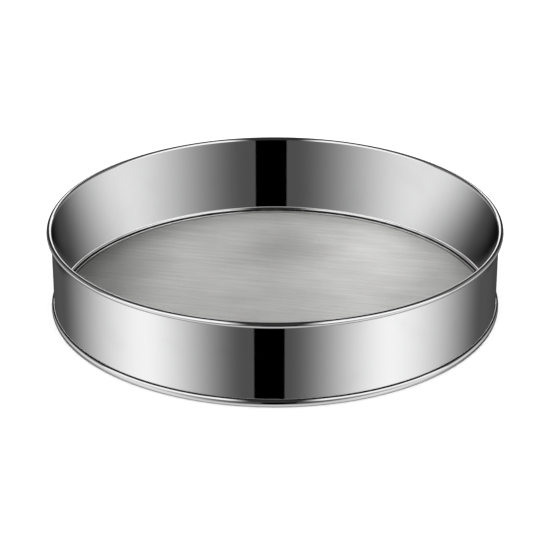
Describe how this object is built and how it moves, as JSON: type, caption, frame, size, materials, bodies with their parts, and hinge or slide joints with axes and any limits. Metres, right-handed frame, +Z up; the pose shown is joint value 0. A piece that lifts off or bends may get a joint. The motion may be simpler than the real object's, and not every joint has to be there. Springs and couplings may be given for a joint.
{
  "type": "flour sieve",
  "caption": "Shallow round flour sieve: mirror-polished steel hoop with a rolled rim, a fine wire screen near its base and a rolled foot ring that it stands on.",
  "frame": {"origin": "on the table, under the middle of the hoop", "axes": "+Z up along the hoop's axis; -Y is the side that faces the viewer in the picture"},
  "size_m": [0.3, 0.3, 0.058],
  "materials": {
    "hoop_steel": "mirror-polished bare stainless steel",
    "ring_steel": "polished bare stainless steel, rolled",
    "wire_steel": "drawn stainless wire, satin"
  },
  "bodies": {
    "root": {"frame_band": "hoop_steel", "foot_ring": "ring_steel", "press_ring": "ring_steel", "mesh_warp_wires": "wire_steel", "mesh_weft_wires": "wire_steel"}
  },
  "joints": []
}
